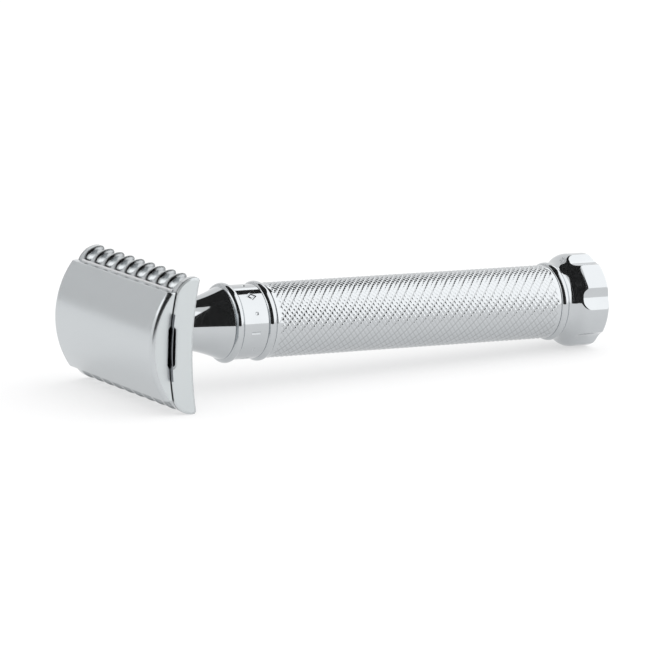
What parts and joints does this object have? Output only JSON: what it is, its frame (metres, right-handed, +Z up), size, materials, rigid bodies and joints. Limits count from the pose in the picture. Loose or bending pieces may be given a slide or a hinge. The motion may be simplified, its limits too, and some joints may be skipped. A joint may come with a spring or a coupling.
{
  "type": "safety razor",
  "caption": "Double-edge open-comb safety razor: a screw-on head clamps a bent blade between cap and comb, on a long knurled handle with a fluted end knob.",
  "frame": {"origin": "on the floor, under the middle of the razor's bounding box, as it lies on the lower edge of its comb and on its end knob", "axes": "+X along the razor from the head to the end knob (the handle slopes down that way by 2.2 degrees), +Y along the head, +Z up; the blade's two edges face up and down"},
  "size_m": [0.1116, 0.043, 0.0266],
  "materials": {
    "chrome_head": "polished chrome with fine drawn brushing along the head",
    "chrome_handle": "mirror-polished chrome over turned brass",
    "chrome_knurled": "chromed diamond knurling",
    "chrome_stud": "chrome-plated stud and pins",
    "blade_steel": "hardened strip steel with ground edges",
    "brass_bush": "turned brass",
    "plain_steel": "plain machined steel"
  },
  "bodies": {
    "comb": {"comb_plate": "chrome_head"},
    "cap": {"cap": "chrome_head", "cap_stud": "chrome_stud", "guide_pins": "chrome_stud"},
    "blade": {"blade": "blade_steel"},
    "handle": {"neck": "chrome_handle", "thread_bush": "brass_bush", "front_bead_ring": "chrome_handle", "engraved_band": "chrome_handle", "middle_bead_ring": "chrome_handle", "grip_tube": "chrome_knurled", "rear_bead_ring": "chrome_handle", "end_knob": "chrome_handle", "tie_rod": "plain_steel", "lock_washer": "plain_steel", "rod_nut": "plain_steel"}
  },
  "joints": [
    {"name": "handle_turn", "type": "hinge", "parent": "comb", "child": "handle", "pos_m": [-0.04624, 0, 0.01329], "axis": [0.9993, 0, -0.0381], "range_deg": [0, 3240]},
    {"name": "cap_lift", "type": "slide", "parent": "comb", "child": "cap", "axis": [-0.9993, 0, 0.0381], "range_m": [0, 0.0073]},
    {"name": "blade_lift", "type": "slide", "parent": "comb", "child": "blade", "axis": [-0.9993, 0, 0.0381], "range_m": [0, 0.0037]}
  ],
  "couplings": [
    {"joint": "cap_lift", "follows": "handle_turn", "m_per_rad": 0.00012732},
    {"joint": "blade_lift", "follows": "handle_turn", "m_per_rad": 0.000063662}
  ]
}
